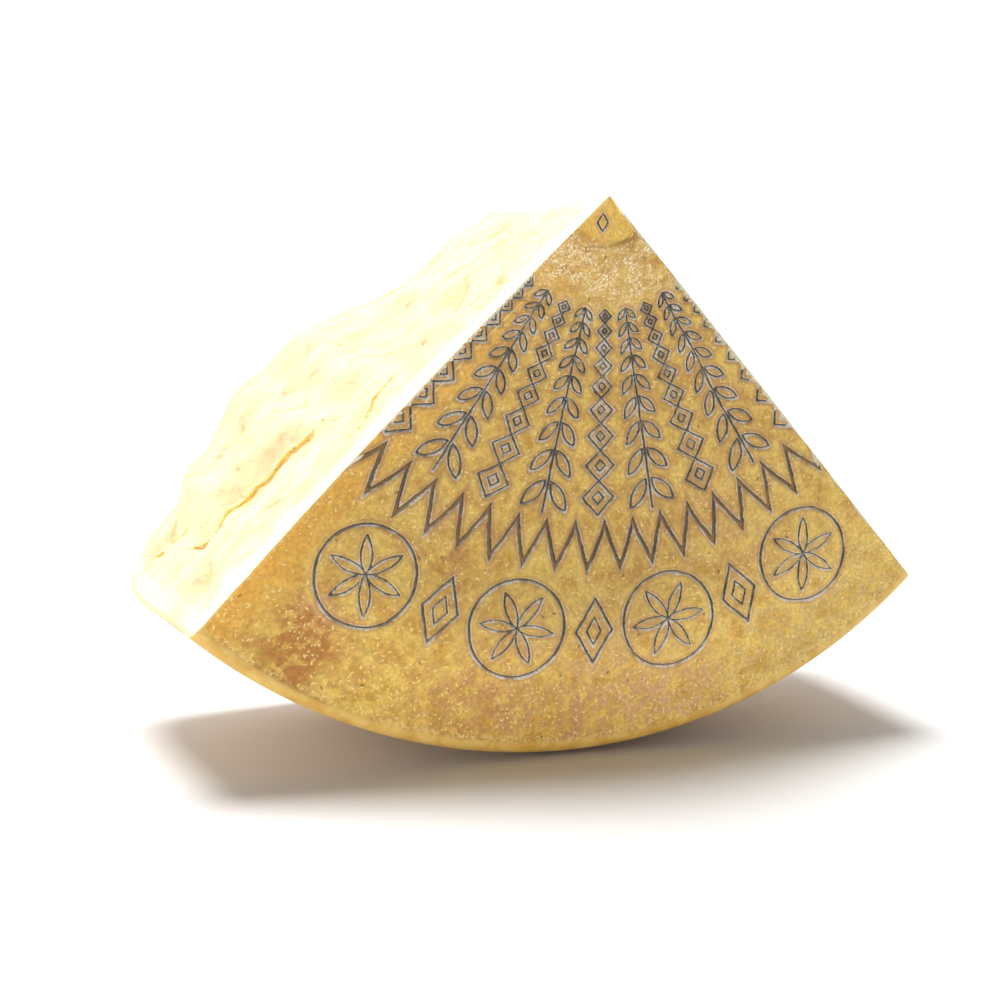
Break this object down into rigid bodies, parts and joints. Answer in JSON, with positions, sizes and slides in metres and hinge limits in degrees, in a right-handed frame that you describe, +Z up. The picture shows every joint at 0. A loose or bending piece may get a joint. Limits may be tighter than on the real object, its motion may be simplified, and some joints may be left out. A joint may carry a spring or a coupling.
{
  "type": "parmesan cheese",
  "caption": "An eighth of a wheel of hard grana cheese: a quarter sector with an engraved rind face and broken pale paste, standing on its rim.",
  "frame": {"origin": "bottom centre of the piece's box, on the surface it stands on", "axes": "+X along the width of the rind face, to the viewer's right; +Y from the rind face back to the broken back; +Z up"},
  "size_m": [0.2906, 0.1348, 0.2035],
  "materials": {
    "cheese": "waxy golden rind with pressed grooves, and pale crumbly broken paste"
  },
  "bodies": {
    "root": {"cheese": "cheese"}
  },
  "joints": []
}
